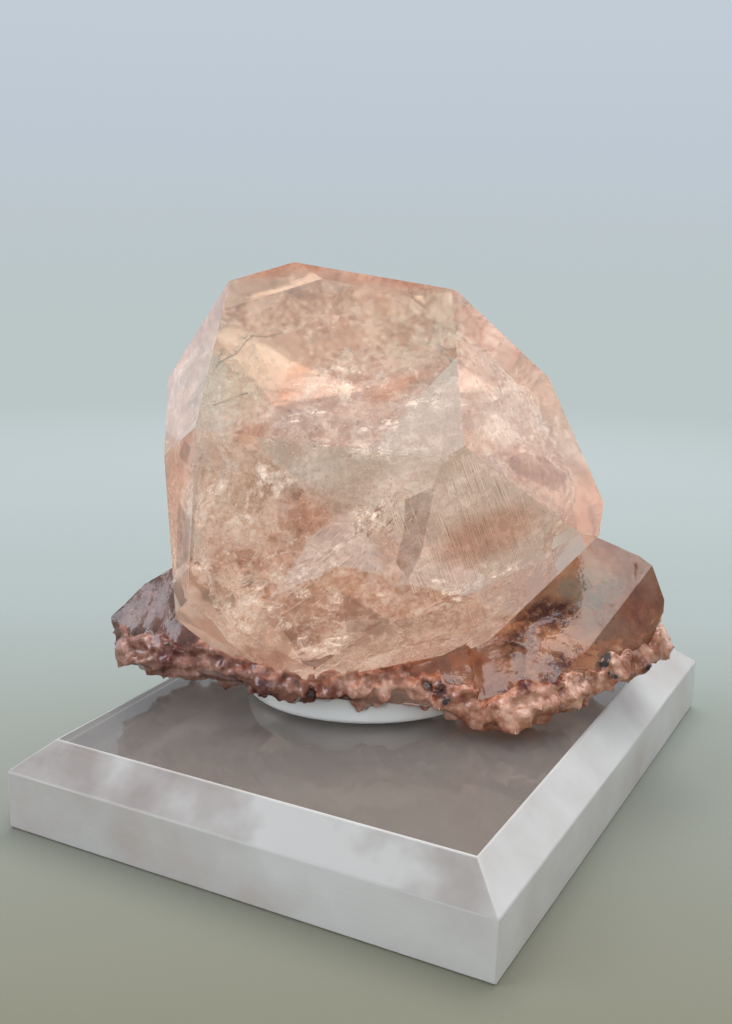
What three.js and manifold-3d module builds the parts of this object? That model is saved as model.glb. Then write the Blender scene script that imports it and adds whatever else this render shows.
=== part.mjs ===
// A peach calcite specimen on its clear display block.
// Millimetres, +Z up. The origin is the middle of the block's underside.
// X runs along the block's short side and Y along its long side.

import * as THREE from 'three';
import { ConvexGeometry } from 'three/addons/geometries/ConvexGeometry.js';
import { mergeVertices } from 'three/addons/utils/BufferGeometryUtils.js';
import Module from 'manifold-3d';

const wasm = await Module();
wasm.setup();

// Driving dimensions

const block = {
  width: 76.2,
  length: 96.5,
  height: 13,
  bevelInset: 5,
  bevelDrop: 4.2,
};

// The specimen faces this way on its block, turned about the block's middle.
const specimenTurn = THREE.MathUtils.degToRad(27.5);
const touchGap = 0.3;
// The lowest teeth end this far above the block's top.
const toothClearance = 0.7;
// Vertices closer together than this are one vertex, and slivers go with them.
const weld = 0.02;

// Everything below is in the specimen's own frame: its best side looks along -Y,
// +X is to the right seen from there, and z = 0 is the block's polished top.

const pad = {
  middle: [-5, -2],
  reachX: 18.5,
  reachY: 15,
  height: 9,
  footRounding: 1.4,
  rings: 7,
  sides: 40,
};

// The large crystal: each face is a flat plane. turn is the compass turn of the face's
// outward direction from the front (positive to the right), tilt is how far it looks up,
// and reach is its distance from the crystal's middle.
const largeCrystal = {
  middle: [-2, -3, 35],
  faces: {
    frontUpper: { turn: -2, tilt: 28.5, reach: 21.2 },
    frontRight: { turn: 43.5, tilt: 24.5, reach: 23 },
    striated: { turn: 19.5, tilt: -7, reach: 20.3 },
    frontLower: { turn: -4.5, tilt: 0.5, reach: 19.6 },
    leftUpper: { turn: -68.5, tilt: 20.5, reach: 33.2 },
    leftLower: { turn: -58, tilt: 3, reach: 32.5 },
    undercutRight: { turn: 30, tilt: -26.5, reach: 23.4 },
    undercutMiddle: { turn: 21, tilt: -28, reach: 23.7 },
    undercutLeft: { turn: -25, tilt: -33, reach: 31.1 },
    crownLeft: { turn: -141, tilt: 60.5, reach: 30.8 },
    crownRight: { turn: 152, tilt: 69.5, reach: 26.7 },
    shoulderRight: { turn: 123, tilt: 50, reach: 24.8 },
    sideRight: { turn: 112, tilt: 21.5, reach: 25.8 },
    sideRightLow: { turn: 98, tilt: -19, reach: 30.3 },
    sideLeft: { turn: -88, tilt: -5, reach: 32.5 },
    shoulderLeft: { turn: -109, tilt: 41, reach: 34.8 },
    keelFront: { turn: 36, tilt: -71.5, reach: 27.4 },
    keelRight: { turn: 66, tilt: -40, reach: 28.4 },
    backUpper: { turn: -170, tilt: 24, reach: 24 },
    backRight: { turn: 152, tilt: -4, reach: 25.5 },
    backLeft: { turn: -138, tilt: -8, reach: 28 },
    keelBack: { turn: 176, tilt: -42, reach: 27 },
    keelLeft: { turn: -108, tilt: -44, reach: 31 },
  },
};

// The lower crystals and the mass that they all grew from: each is the tight skin over
// its corners.
const rightCrystal = [
  [31, 2, 25.6],
  [38.2, -1, 23.1],
  [40, -2, 21.9],
  [41.9, -4, 17],
  [41.7, -5, 15.3],
  [39.4, -7, 11],
  [31.5, -14, 6],
  [25, -17.5, 5],
  [20.8, -19.5, 4],
  [13.8, -21, 2.6],
  [10.6, -19.5, 3.4],
  [6.6, -18, 4.6],
  [29, 15, 21.5],
  [37.5, 11, 15],
  [36, 12, 7.5],
  [20, 17, 5.5],
  [4, 12, 5],
  [10, 2, 24],
];

const leftCrystal = [
  [-43.6, -8, 8.4],
  [-44.3, -6, 12.9],
  [-39.5, -4, 17.7],
  [-34.8, -4, 20.7],
  [-20, -6, 24],
  [-30, 12, 17.5],
  [-40.5, 7, 12.5],
  [-38, 11, 6],
  [-42, -10, 6.6],
  [-35, -13, 7.6],
  [-27.4, -15, 7.2],
  [-22.4, -16, 6.4],
  [-20, 13, 5.4],
];

const growthMass = [
  [-26, -15, 6.4],
  [-17, -18, 5.6],
  [-6, -18, 5.4],
  [2, -17.5, 5],
  [12, -19, 4],
  [22, 13, 5],
  [6, 19, 6],
  [-10, 20, 6.2],
  [-26, 14, 6],
  [-24, -12, 15],
  [10, -12, 14],
  [14, 14, 20],
  [-8, 19, 22],
  [-24, 13, 18],
];

// The toothed rim of small crystals runs all the way round the foot of the specimen.
const rimPath = [
  [43, -4, 9.6],
  [39.5, -7.5, 8.6],
  [35, -11.5, 7.4],
  [30.5, -14, 6.2],
  [25, -17.5, 5.2],
  [20.5, -20, 4.6],
  [15.5, -21.2, 3.6],
  [11, -20, 4],
  [6.5, -18.5, 5.2],
  [1, -17, 6.4],
  [-6.5, -18.5, 6],
  [-12, -18, 7],
  [-17.8, -18.5, 6.4],
  [-23, -16, 7.6],
  [-29, -14, 8],
  [-34.5, -13, 8.4],
  [-40, -11, 8.2],
  [-43.4, -7.5, 9],
  [-42.5, 1, 8.6],
  [-39, 9, 7.8],
  [-29, 14, 7.4],
  [-17, 18, 7.6],
  [-4, 20, 7.6],
  [9, 19, 7.2],
  [21, 17, 6.8],
  [31, 14.5, 7.4],
  [38, 9.5, 8.6],
  [42, 2, 9.4],
];

// Each row of teeth leans out from the middle by its own slope, up or down.
const rim = {
  rows: [
    { count: 66, lift: -0.2, inward: 1.2, slope: -0.5, smallest: 2.0, largest: 3.4 },
    { count: 46, lift: 2.2, inward: 2.2, slope: 0.3, smallest: 1.6, largest: 2.9 },
    { count: 36, lift: -1.0, inward: 4.2, slope: -1.6, smallest: 1.8, largest: 2.8 },
  ],
  heart: [-2, 0, 0],
  wander: 0.8,
  lean: 0.5,
  seed: 2605,
};

// Small calcite rhombs are boxes sheared along two directions.
const rhombShear = 0.35;

const finishes = {
  block: { color: '#dfe3e1', roughness: 0.08, metalness: 0, transparent: true, opacity: 0.45 },
  pad: { color: '#eceae6', roughness: 0.25, metalness: 0 },
  calcite: { color: '#d8b49c', roughness: 0.12, metalness: 0 },
};

// Helpers

function seededRandom(seed) {
  let state = seed;
  return () => {
    state = (state * 1664525 + 1013904223) % 4294967296;
    return state / 4294967296;
  };
}

function between(random, low, high) {
  return low + (high - low) * random();
}

function scatter(random, reach) {
  const step = () => between(random, -reach, reach);
  return new THREE.Vector3(step(), step(), step());
}

function positionsOnly(geometry) {
  const bare = new THREE.BufferGeometry();
  bare.setAttribute('position', geometry.getAttribute('position'));
  if (geometry.index) bare.setIndex(geometry.index);
  return mergeVertices(bare, 1e-4);
}

function toSolid(geometry) {
  const merged = positionsOnly(geometry);
  const vertProperties = new Float32Array(merged.getAttribute('position').array);
  const triVerts = new Uint32Array(merged.index.array);
  return new wasm.Manifold(new wasm.Mesh({ numProp: 3, vertProperties, triVerts }));
}

function toGeometry(solid) {
  const mesh = solid.getMesh();
  const geometry = new THREE.BufferGeometry();
  geometry.setAttribute('position', new THREE.BufferAttribute(mesh.vertProperties, 3));
  geometry.setIndex(new THREE.BufferAttribute(mesh.triVerts, 1));
  geometry.computeVertexNormals();
  return geometry;
}

// Small crystals can close off a pocket between them. Only the outermost skin is kept.
function withoutPockets(solid) {
  const { triVerts, vertProperties } = solid.getMesh();
  const parent = Array.from({ length: vertProperties.length / 3 }, (_, index) => index);
  const rootOf = (index) => {
    let at = index;
    while (parent[at] !== at) {
      parent[at] = parent[parent[at]];
      at = parent[at];
    }
    return at;
  };
  for (let i = 0; i < triVerts.length; i += 3) {
    parent[rootOf(triVerts[i + 1])] = rootOf(triVerts[i]);
    parent[rootOf(triVerts[i + 2])] = rootOf(triVerts[i]);
  }
  const skins = new Map();
  for (let i = 0; i < triVerts.length; i += 3) {
    const root = rootOf(triVerts[i]);
    if (!skins.has(root)) skins.set(root, []);
    skins.get(root).push(triVerts[i], triVerts[i + 1], triVerts[i + 2]);
  }
  const largest = [...skins.values()].reduce((best, skin) => (skin.length > best.length ? skin : best));
  const geometry = new THREE.BufferGeometry();
  geometry.setAttribute('position', new THREE.BufferAttribute(vertProperties, 3));
  geometry.setIndex(largest);
  return toSolid(geometry.toNonIndexed());
}

function skinOver(corners) {
  return new ConvexGeometry(corners.map((corner) => new THREE.Vector3(...corner)));
}

function outwardOf({ turn, tilt }) {
  const turned = THREE.MathUtils.degToRad(turn);
  const tilted = THREE.MathUtils.degToRad(tilt);
  return new THREE.Vector3(
    Math.sin(turned) * Math.cos(tilted),
    -Math.cos(turned) * Math.cos(tilted),
    Math.sin(tilted),
  );
}

// A flat-faced crystal: every point where three faces meet, inside all the others, is a corner.
function crystalFromFaces({ middle, faces }) {
  const centre = new THREE.Vector3(...middle);
  const planes = Object.values(faces).map((face) => {
    const outward = outwardOf(face);
    return { outward, offset: outward.dot(centre) + face.reach };
  });
  const corners = [];
  for (let a = 0; a < planes.length; a += 1) {
    for (let b = a + 1; b < planes.length; b += 1) {
      for (let c = b + 1; c < planes.length; c += 1) {
        const corner = whereThreeMeet(planes[a], planes[b], planes[c]);
        if (corner && planes.every((plane) => plane.outward.dot(corner) <= plane.offset + 1e-6)) {
          corners.push(corner.toArray());
        }
      }
    }
  }
  return skinOver(corners);
}

function whereThreeMeet(first, second, third) {
  const acrossTwoThree = new THREE.Vector3().crossVectors(second.outward, third.outward);
  const volume = first.outward.dot(acrossTwoThree);
  if (Math.abs(volume) < 1e-6) return null;
  const acrossThreeOne = new THREE.Vector3().crossVectors(third.outward, first.outward);
  const acrossOneTwo = new THREE.Vector3().crossVectors(first.outward, second.outward);
  return acrossTwoThree.multiplyScalar(first.offset)
    .addScaledVector(acrossThreeOne, second.offset)
    .addScaledVector(acrossOneTwo, third.offset)
    .divideScalar(volume);
}

// The rim

// A rhomb stood on its corner, so that it ends in a three-sided tooth that points outward.
function smallRhomb(random, place, outward, size) {
  const geometry = new THREE.BoxGeometry(size, size * between(random, 0.8, 1.1), size);
  geometry.applyMatrix4(new THREE.Matrix4().makeShear(0, rhombShear, 0, rhombShear, 0, 0));
  const corner = new THREE.Vector3(1, 1, 1).normalize();
  const up = new THREE.Vector3(0, 0, 1);
  geometry.applyQuaternion(new THREE.Quaternion().setFromUnitVectors(corner, up));
  geometry.rotateZ(between(random, 0, Math.PI * 2));
  geometry.scale(1, 1, between(random, 1, 1.5));
  geometry.applyQuaternion(new THREE.Quaternion().setFromUnitVectors(up, outward));
  geometry.translate(...place);
  return geometry;
}

function rimCrystals() {
  const random = seededRandom(rim.seed);
  const path = new THREE.CatmullRomCurve3(
    rimPath.map((point) => new THREE.Vector3(...point)),
    true,
    'centripetal',
  );
  const heart = new THREE.Vector3(...rim.heart);
  const solids = [];
  for (const row of rim.rows) {
    for (let i = 0; i < row.count; i += 1) {
      const spot = path.getPointAt((i + between(random, 0.1, 0.9)) / row.count);
      const outward = spot.clone().sub(heart).setZ(0).normalize();
      spot.addScaledVector(outward, -row.inward);
      spot.z += row.lift;
      spot.add(scatter(random, rim.wander));
      outward.z += row.slope;
      outward.add(scatter(random, rim.lean)).normalize();
      const size = between(random, row.smallest, row.largest);
      solids.push(toSolid(smallRhomb(random, spot.toArray(), outward, size)));
    }
  }
  return solids;
}

// The three pieces

function makeBlock() {
  const halfWidth = block.width / 2;
  const halfLength = block.length / 2;
  const corners = [];
  for (const sideX of [-1, 1]) {
    for (const sideY of [-1, 1]) {
      corners.push([sideX * halfWidth, sideY * halfLength, 0]);
      corners.push([sideX * halfWidth, sideY * halfLength, block.height - block.bevelDrop]);
      corners.push([
        sideX * (halfWidth - block.bevelInset),
        sideY * (halfLength - block.bevelInset),
        block.height,
      ]);
    }
  }
  return skinOver(corners);
}

function makeSpecimen() {
  const bodies = [
    crystalFromFaces(largeCrystal),
    skinOver(rightCrystal),
    skinOver(leftCrystal),
    skinOver(growthMass),
  ].map(toSolid);
  const grown = [...bodies, ...rimCrystals()].reduce((sum, solid) => sum.add(solid));
  const span = block.width + block.length;
  const slab = new THREE.BoxGeometry(span, span, block.height);
  slab.translate(0, 0, toothClearance - block.height / 2);
  return withoutPockets(grown.subtract(toSolid(slab)).simplify(weld));
}

// A soft dome pressed flat on the block, with the specimen's underside pressed into it.
function makePad(specimen) {
  const profile = [new THREE.Vector2(0, touchGap)];
  for (let i = 0; i <= pad.rings; i += 1) {
    const climb = (i / pad.rings) * (Math.PI / 2);
    profile.push(new THREE.Vector2(
      i === pad.rings ? 0 : Math.cos(climb) ** 0.6,
      touchGap + pad.footRounding * 0.5 + Math.sin(climb) * (pad.height - pad.footRounding),
    ));
  }
  profile.splice(1, 0, new THREE.Vector2(0.95, touchGap));
  const dome = new THREE.LatheGeometry(profile, pad.sides);
  dome.rotateX(Math.PI / 2);
  dome.scale(pad.reachX, pad.reachY, 1);
  dome.translate(pad.middle[0], pad.middle[1], 0);
  let solid = toSolid(dome);
  for (const [x, y, z] of [[0, 0, -1], [1, 0, -1], [-1, 0, -1], [0, 1, -1], [0, -1, -1]]) {
    solid = solid.subtract(specimen.translate(x * touchGap, y * touchGap, z * touchGap));
  }
  return largestPiece(solid).simplify(weld);
}

function largestPiece(solid) {
  return solid.decompose().reduce((best, piece) => (piece.volume() > best.volume() ? piece : best));
}

function pieceOf(name, geometry, finish) {
  const mesh = new THREE.Mesh(geometry, new THREE.MeshStandardMaterial(finish));
  mesh.name = name;
  return mesh;
}

const specimenSolid = makeSpecimen();

const specimenGroup = new THREE.Group();
specimenGroup.rotation.z = specimenTurn;
specimenGroup.position.z = block.height;
specimenGroup.add(pieceOf('calcite_crystals', toGeometry(specimenSolid), finishes.calcite));
specimenGroup.add(pieceOf('mounting_putty', toGeometry(makePad(specimenSolid)), finishes.pad));

const part = new THREE.Group();
part.add(pieceOf('display_block', makeBlock(), finishes.block));
part.add(specimenGroup);

export default part;
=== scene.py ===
import math

import bmesh
import bpy
from mathutils import Matrix, Vector, noise


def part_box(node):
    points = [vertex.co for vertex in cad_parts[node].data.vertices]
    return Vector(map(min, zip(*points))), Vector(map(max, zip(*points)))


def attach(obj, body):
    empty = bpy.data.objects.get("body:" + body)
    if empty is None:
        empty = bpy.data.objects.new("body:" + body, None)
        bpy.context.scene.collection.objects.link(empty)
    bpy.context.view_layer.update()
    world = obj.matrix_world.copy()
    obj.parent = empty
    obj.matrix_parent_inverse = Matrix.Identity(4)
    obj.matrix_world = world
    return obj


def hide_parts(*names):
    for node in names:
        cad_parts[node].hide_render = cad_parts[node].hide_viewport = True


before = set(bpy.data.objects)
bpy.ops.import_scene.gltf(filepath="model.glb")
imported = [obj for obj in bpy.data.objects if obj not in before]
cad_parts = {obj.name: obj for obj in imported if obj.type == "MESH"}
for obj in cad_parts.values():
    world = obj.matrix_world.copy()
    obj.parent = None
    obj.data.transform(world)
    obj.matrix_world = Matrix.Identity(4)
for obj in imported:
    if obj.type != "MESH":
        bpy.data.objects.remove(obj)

print("frame loaded:", sorted(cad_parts))
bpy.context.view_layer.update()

# The specimen is worked out in its own millimetres: best side along -Y, z = 0 on the block's top.
mm = 0.001
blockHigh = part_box("display_block")[1]
specimen = {"turn": 27.5}
specimenTurn = Matrix.Rotation(math.radians(specimen["turn"]), 4, "Z")
toFrame = Matrix.Translation((0, 0, blockHigh.z)) @ specimenTurn @ Matrix.Scale(mm, 4)


# sRGB hex to the linear colour that the shaders want.
def linear(hexColour):
    channels = [int(hexColour[i:i + 2], 16) / 255 for i in (1, 3, 5)]
    return [c / 12.92 if c <= 0.04045 else ((c + 0.055) / 1.055) ** 2.4 for c in channels] + [1.0]


# A node with its settings and links. Hex text becomes a colour, and stops fill a colour ramp.
def addNode(tree, kind, settings=None, inputs=None, stops=(), out=0):
    node = tree.nodes.new("ShaderNode" + kind)
    for name, value in (settings or {}).items():
        setattr(node, name, value)
    for name, value in (inputs or {}).items():
        if isinstance(value, bpy.types.NodeSocket):
            tree.links.new(value, node.inputs[name])
        else:
            node.inputs[name].default_value = linear(value) if isinstance(value, str) else value
    for i, (place, colour) in enumerate(stops):
        bands = node.color_ramp.elements
        band = bands[i] if i < 2 else bands.new(place)
        band.position = place
        band.color = linear(colour)
    return node.outputs[out] if node.outputs else node


def newMaterial(name):
    material = bpy.data.materials.new(name)
    material.use_nodes = True
    material.node_tree.nodes.clear()
    return material, material.node_tree


def newObject(name, data):
    made = bpy.data.objects.new(name, data)
    bpy.context.scene.collection.objects.link(made)
    return made


def toMesh(bm, name, move=toFrame):
    bm.transform(move)
    mesh = bpy.data.meshes.new(name)
    bm.to_mesh(mesh)
    bm.free()
    return mesh


# The mesh that an object's modifiers give. The object itself goes.
def applied(helper):
    depsgraph = bpy.context.evaluated_depsgraph_get()
    mesh = bpy.data.meshes.new_from_object(helper.evaluated_get(depsgraph))
    bpy.data.objects.remove(helper)
    return mesh


def newPiece(name, mesh, materials, node):
    piece = newObject(name, mesh)
    for material in materials:
        mesh.materials.append(material)
    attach(piece, "root")
    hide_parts(node)
    return piece


# The clear stone and what is in it let the lamps through to the clouds and cracks behind them.
def newInside(name, bm, *materials):
    piece = newPiece(name, toMesh(bm, name), materials, "calcite_crystals")
    piece.visible_shadow = False


# Direction from a turn off the front (positive to the right) and a tilt up, in degrees.
def unit(turn, tilt):
    turned, tilted = math.radians(turn), math.radians(tilt)
    return Vector((
        math.sin(turned) * math.cos(tilted),
        -math.cos(turned) * math.cos(tilted),
        math.sin(tilted),
    ))


# 0 below low, 1 above high, and smooth between them.
def fadeTo(value, low, high):
    t = min(1.0, max(0.0, (value - low) / (high - low)))
    return t * t * (3 - 2 * t)


# A plain random sequence, the same one on every run.
class Lcg:
    def __init__(self, seed):
        self.state = seed

    def between(self, low, high):
        self.state = (self.state * 1664525 + 1013904223) % 4294967296
        return low + (high - low) * self.state / 4294967296

    def scatter(self, reach):
        return Vector([self.between(-reach, reach) for axis in range(3)])


# Camera: it stands where the photograph was taken from, in the specimen's millimetres and degrees.
cameraSpec = {
    "place": (-5.11, -188.72, 77.46),
    "down": 14.37,
    "roll": 1.25,
    "focal": 1239.1,  # pixels
    "picture": (732, 1024),
    "sensor": 36.0,
    "clip": (0.005, 20),  # metres
}


# Right, up and ahead of the camera in the specimen's own directions.
def cameraAxes():
    down, roll = math.radians(cameraSpec["down"]), math.radians(cameraSpec["roll"])
    right = Vector((1, 0, 0))
    up = Vector((0, math.sin(down), math.cos(down)))
    ahead = Vector((0, math.cos(down), -math.sin(down)))
    return right * math.cos(roll) + up * math.sin(roll), up * math.cos(roll) - right * math.sin(roll), ahead


cameraRight, cameraUp, cameraAhead = cameraAxes()


def makeCamera():
    camera = newObject("camera", bpy.data.cameras.new("camera"))
    axes = Matrix((cameraRight, cameraUp, -cameraAhead)).transposed().to_4x4()
    place = toFrame @ Vector(cameraSpec["place"])
    camera.matrix_world = Matrix.Translation(place) @ specimenTurn @ axes
    camera.data.sensor_width = cameraSpec["sensor"]
    camera.data.lens = cameraSpec["focal"] / cameraSpec["picture"][1] * cameraSpec["sensor"]
    camera.data.clip_start, camera.data.clip_end = cameraSpec["clip"]
    bpy.context.scene.camera = camera


makeCamera()
print("camera set")

# Studio: a pale sweep all the way round, open at the top, with soft lamps inside it. Metres.
studio = {
    "floorDrop": 0.0002,
    "flatRadius": 0.5,
    "flatRings": 4,
    "wallRadius": 1.5,
    "wallHeight": 1.6,
    "wallRings": 24,
    "around": 96,
    "near": -0.08,
    "far": 0.30,
    # The floor's colour is darker in front than behind: painted shade.
    "floor": [(0.0, "#75725f"), (0.4, "#959c97"), (1.0, "#a8aeab")],  # from near to far
    "screen": [(0.0, "#bbc6c6"), (0.08, "#bec8d2"), (0.25, "#c4d0dc")],  # by share of the wall's height
    "screenFrom": 0.20,
    "screenTo": 0.40,
    "sky": "#d6deea",
}


def makeStudioPaint():
    # Matt emulsion on board: no highlights. Away from the specimen it gives way to an evenly lit screen.
    material, tree = newMaterial("matt studio paint")
    position = addNode(tree, "NewGeometry")
    back = specimenTurn @ Vector((0, 1, 0))
    away = addNode(tree, "VectorMath", {"operation": "DOT_PRODUCT"}, {0: position, 1: back}, out="Value")
    outward = addNode(tree, "MapRange", inputs={
        "Value": away, "From Min": studio["near"], "From Max": studio["far"],
    })
    # The floor is painted darker in front and paler behind: painted shade.
    paint = addNode(tree, "BsdfPrincipled", inputs={
        "Base Color": addNode(tree, "ValToRGB", inputs={"Fac": outward}, stops=studio["floor"]),
        "Roughness": 0.75, "Specular IOR Level": 0.2,
    })
    height = addNode(tree, "SeparateXYZ", inputs={"Vector": position}, out="Z")
    share = addNode(tree, "Math", {"operation": "DIVIDE"}, {0: height, 1: studio["wallHeight"]})
    screen = addNode(tree, "Emission", inputs={
        "Color": addNode(tree, "ValToRGB", inputs={"Fac": share}, stops=studio["screen"]),
        "Strength": 1.0,
    })
    flat = addNode(tree, "VectorMath", {"operation": "MULTIPLY"}, {0: position, 1: (1, 1, 0)})
    radius = addNode(tree, "VectorMath", {"operation": "LENGTH"}, {0: flat}, out="Value")
    glow = addNode(tree, "MapRange", {"interpolation_type": "SMOOTHSTEP"}, {
        "Value": radius, "From Min": studio["screenFrom"], "From Max": studio["screenTo"],
    })
    both = addNode(tree, "MixShader", inputs={0: glow, 1: paint, 2: screen})
    addNode(tree, "OutputMaterial", inputs={"Surface": both})
    material.cycles.emission_sampling = "NONE"  # the screen is seen, but isn't counted as a lamp
    return material


def makeSweep():
    spec = studio
    radii = [(spec["flatRadius"] * (i + 1) / spec["flatRings"], 0.0) for i in range(spec["flatRings"])]
    for i in range(1, spec["wallRings"] + 1):
        climb = i / spec["wallRings"] * math.pi / 2
        radii.append((
            spec["flatRadius"] + (spec["wallRadius"] - spec["flatRadius"]) * math.sin(climb),
            spec["wallHeight"] * (1 - math.cos(climb)),
        ))
    bm = bmesh.new()
    middle = bm.verts.new((0, 0, -spec["floorDrop"]))
    around = spec["around"]
    rings = []
    for radius, height in radii:
        turns = [2 * math.pi * k / around for k in range(around)]
        rings.append([
            bm.verts.new((radius * math.cos(turn), radius * math.sin(turn), height - spec["floorDrop"]))
            for turn in turns
        ])
    for k in range(around):
        bm.faces.new((middle, rings[0][k], rings[0][(k + 1) % around]))
    for lower, upper in zip(rings, rings[1:]):
        for k in range(around):
            after = (k + 1) % around
            bm.faces.new((lower[k], upper[k], upper[after], lower[after]))
    mesh = toMesh(bm, "studio_sweep", Matrix())
    mesh.shade_smooth()
    mesh.materials.append(makeStudioPaint())
    newObject("studio_sweep", mesh)


# Lamps: where each stands seen from the specimen's front, in degrees and metres.
lampAim = 0.045  # height of the specimen's middle
lamps = {
    "overhead": {"turn": 160, "tilt": 70, "away": 0.75, "size": 0.7, "watts": 4.3, "colour": "#ffffff"},
    "windowLeft": {"turn": -75, "tilt": 28, "away": 0.7, "size": 0.5, "watts": 2.2, "colour": "#eef3ff"},
    "windowRight": {"turn": 102, "tilt": 22, "away": 0.8, "size": 0.6, "watts": 1.0, "colour": "#fffaf6"},
    "windowBack": {"turn": -144, "tilt": 5, "away": 0.75, "size": 0.5, "watts": 0.26, "colour": "#f4f4ff"},
    "front": {"turn": 24, "tilt": 66, "away": 0.8, "size": 0.4, "watts": 1.1, "colour": "#ffffff"},
    "fill": {"turn": 12, "tilt": 10, "away": 0.8, "size": 0.5, "watts": 0.95, "colour": "#fff8f0"},
}


def makeLamps():
    for name, spec in lamps.items():
        light = bpy.data.lights.new(name, "AREA")
        light.shape = "DISK"
        light.size = spec["size"]
        light.energy = spec["watts"]
        light.color = linear(spec["colour"])[:3]
        lamp = newObject(name, light)
        direction = specimenTurn @ unit(spec["turn"], spec["tilt"])
        lamp.location = Vector((0, 0, lampAim)) + direction * spec["away"]
        lamp.rotation_mode = "QUATERNION"
        lamp.rotation_quaternion = direction.to_track_quat("Z", "Y")
        lamp.visible_camera = False
        lamp.visible_transmission = False  # no lamp shows through the stone as a bright disc
    world = bpy.data.worlds.new("pale sky")
    bpy.context.scene.world = world
    world.use_nodes = True
    world.node_tree.nodes["Background"].inputs["Color"].default_value = linear(studio["sky"])


makeSweep()
makeLamps()
bpy.context.scene.view_settings.view_transform = "Standard"
print("studio set")

# Large crystal: flat growth faces, each by its turn, its tilt and its reach from the middle, in mm.
largeCrystal = {
    "middle": (-2, -3, 35),
    "rawCube": 300,
    "grid": 1.1,
    "sharp": 4,  # degrees
    "plainSatin": 0.1,
    "satin": {
        "frontUpper": 0.13, "frontRight": 0.07, "leftUpper": 0.14, "frontLower": 0.04, "leftLower": 0.05,
        "striated": 0.05, "undercutRight": 0.07, "undercutMiddle": 0.05, "crownLeft": 0.3, "crownRight": 0.3,
    },
    "faces": {
        "frontUpper": (-2, 28.5, 21.2),
        "frontRight": (43.5, 24.5, 23),
        "striated": (19.5, -7, 20.3),
        "frontLower": (-4.5, 0.5, 19.6),
        "leftUpper": (-68.5, 20.5, 33.2),
        "leftLower": (-58, 3, 32.5),
        "undercutRight": (30, -26.5, 23.4),
        "undercutMiddle": (21, -28, 23.7),
        "undercutLeft": (-25, -33, 31.1),
        "crownLeft": (-141, 60.5, 30.8),
        "crownRight": (152, 69.5, 26.7),
        "shoulderRight": (123, 50, 24.8),
        "sideRight": (112, 21.5, 25.8),
        "sideRightLow": (98, -19, 30.3),
        "sideLeft": (-88, -5, 32.5),
        "shoulderLeft": (-109, 41, 34.8),
        "keelFront": (36, -71.5, 27.4),
        "keelRight": (66, -40, 28.4),
        "backUpper": (-170, 24, 24),
        "backRight": (152, -4, 25.5),
        "backLeft": (-138, -8, 28),
        "keelBack": (176, -42, 27),
        "keelLeft": (-108, -44, 31),
    },
}
calciteIor = 1.6


def crystalPlanes():
    middle = Vector(largeCrystal["middle"])
    found = {}
    for name, (turn, tilt, reach) in largeCrystal["faces"].items():
        outward = unit(turn, tilt)
        found[name] = (outward, outward.dot(middle) + reach)
    return found


planes = crystalPlanes()


# A cube cut down by every face plane, each moved out by grow millimetres.
def cutCrystal(faces, grow):
    bm = bmesh.new()
    bmesh.ops.create_cube(bm, size=largeCrystal["rawCube"])
    for outward, offset in faces.values():
        cut = bmesh.ops.bisect_plane(
            bm, geom=bm.verts[:] + bm.edges[:] + bm.faces[:], dist=1e-5,
            plane_co=outward * (offset + grow), plane_no=outward, clear_outer=True,
        )
        edges = [g for g in cut["geom_cut"] if isinstance(g, bmesh.types.BMEdge)]
        if edges:
            bmesh.ops.contextual_create(bm, geom=edges)
    bmesh.ops.recalc_face_normals(bm, faces=bm.faces[:])
    return bm


# Cuts the faces along even planes, so that fine relief has points to move.
def gridCut(bm, step):
    low = [min(v.co[axis] for v in bm.verts) for axis in range(3)]
    high = [max(v.co[axis] for v in bm.verts) for axis in range(3)]
    for axis in range(3):
        direction = Vector((0, 0, 0))
        direction[axis] = 1
        for i in range(1, int((high[axis] - low[axis]) / step)):
            bmesh.ops.bisect_plane(
                bm, geom=bm.verts[:] + bm.edges[:] + bm.faces[:], dist=1e-4,
                plane_co=direction * (low[axis] + i * step), plane_no=direction,
            )
    bmesh.ops.triangulate(bm, faces=[f for f in bm.faces if len(f.verts) > 4])


def markSharp(bm, degrees):
    limit = math.radians(degrees)
    for edge in bm.edges:
        edge.smooth = len(edge.link_faces) == 2 and edge.calc_face_angle(0) < limit
    for face in bm.faces:
        face.smooth = True


def insideCrystal(point, clearance):
    return all(outward.dot(point) <= offset - clearance for outward, offset in planes.values())


# Distances from a point inside to every face, nearest first.
def nearestFaces(point):
    return sorted((offset - outward.dot(point), name) for name, (outward, offset) in planes.items())


# The point that shows at this pixel of the picture, depth mm inside the large crystal.
# The line of sight is bent at the face that it enters by, as light is.
def fromPicture(x, y, depth):
    width, height = cameraSpec["picture"]
    place = Vector(cameraSpec["place"])
    ray = (
        cameraRight * ((x - width / 2) / cameraSpec["focal"])
        - cameraUp * ((y - height / 2) / cameraSpec["focal"])
        + cameraAhead
    ).normalized()
    entry, facing = -math.inf, None
    for outward, offset in planes.values():
        along = outward.dot(ray)
        if along < 0:
            reach = (offset - outward.dot(place)) / along
            if reach > entry:
                entry, facing = reach, outward
    cosIn = -facing.dot(ray)
    ratio = 1 / calciteIor
    cosOut = math.sqrt(max(0.0, 1 - ratio * ratio * (1 - cosIn * cosIn)))
    bent = (ray * ratio + facing * (ratio * cosIn - cosOut)).normalized()
    return place + ray * entry + bent * depth, facing, bent


# Zones are ellipses on the picture: x and y, reach across and up in pixels, lean and strength.
# They colour the specimen's front side alone, and fade out between these shares of their reach.
zoneEdge = {"full": 0.5, "gone": 1.25}


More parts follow.
